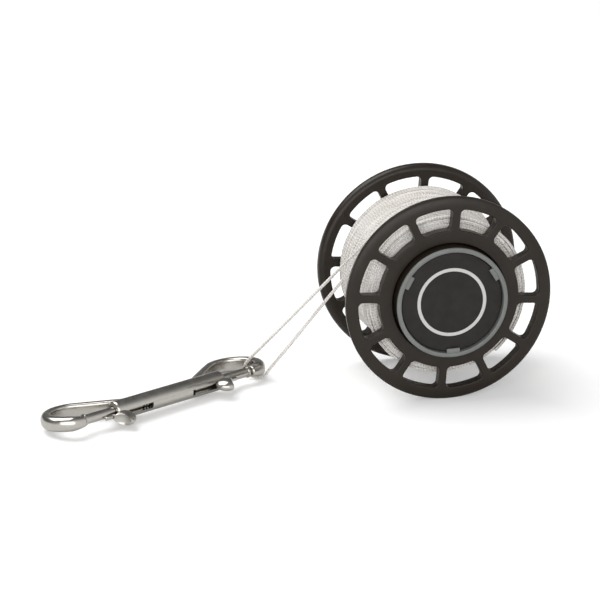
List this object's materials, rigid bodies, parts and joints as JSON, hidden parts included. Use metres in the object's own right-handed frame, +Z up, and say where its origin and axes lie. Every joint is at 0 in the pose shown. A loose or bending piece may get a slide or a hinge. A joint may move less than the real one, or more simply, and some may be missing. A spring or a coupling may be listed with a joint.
{
  "type": "finger spool",
  "caption": "Finger spool of braided line between two windowed flanges, with a turning hub and a double-ended bolt snap at the end of the line's loop.",
  "frame": {"origin": "on the floor under the middle of the spool, half way between its flanges", "axes": "+Z up, +Y along the spool's axis from its front face to its rear face, +X to the right as its front face is seen"},
  "size_m": [0.2211, 0.077, 0.0902],
  "materials": {
    "black_plastic": "moulded black plastic with a soft sheen",
    "grey_plastic": "moulded grey plastic",
    "badge": "matt black disc",
    "line": "white braided line",
    "snap_steel": "polished stainless steel",
    "spring_steel": "bare spring wire",
    "screw_steel": "bare steel"
  },
  "bodies": {
    "spool": {"front_flange": "black_plastic", "rear_flange": "black_plastic", "drum": "black_plastic", "line_core": "line", "line_turns": "line", "line_loop": "line"},
    "hub": {"front_hub": "grey_plastic", "rear_hub": "grey_plastic", "hub_screw_1": "screw_steel", "hub_screw_2": "screw_steel", "hub_screw_3": "screw_steel", "front_badge": "badge", "rear_badge": "badge"},
    "snap": {"snap_body": "snap_steel", "left_spring": "spring_steel", "right_spring": "spring_steel"},
    "left_gate": {"left_bolt": "snap_steel", "left_thumb_stud": "snap_steel"},
    "right_gate": {"right_bolt": "snap_steel", "right_thumb_stud": "snap_steel"}
  },
  "joints": [
    {"name": "hub_spin", "type": "hinge", "parent": "spool", "child": "hub", "pos_m": [0, 0, 0.0451], "axis": [0, 1, 0], "continuous": true},
    {"name": "snap_swivel", "type": "hinge", "parent": "spool", "child": "snap", "pos_m": [-0.0742, 0.0132, 0.0061], "axis": [0, 0, 1], "range_deg": [-18, 10]},
    {"name": "left_gate_slide", "type": "slide", "parent": "snap", "child": "left_gate", "axis": [0.866, 0.5, -0.0087], "range_m": [0, 0.0085], "stiffness_N_per_m": 250, "springref_m": -0.006, "deforming": ["left_spring"]},
    {"name": "right_gate_slide", "type": "slide", "parent": "snap", "child": "right_gate", "axis": [-0.866, -0.5, 0.0087], "range_m": [0, 0.0085], "stiffness_N_per_m": 250, "springref_m": -0.006, "deforming": ["right_spring"]}
  ]
}
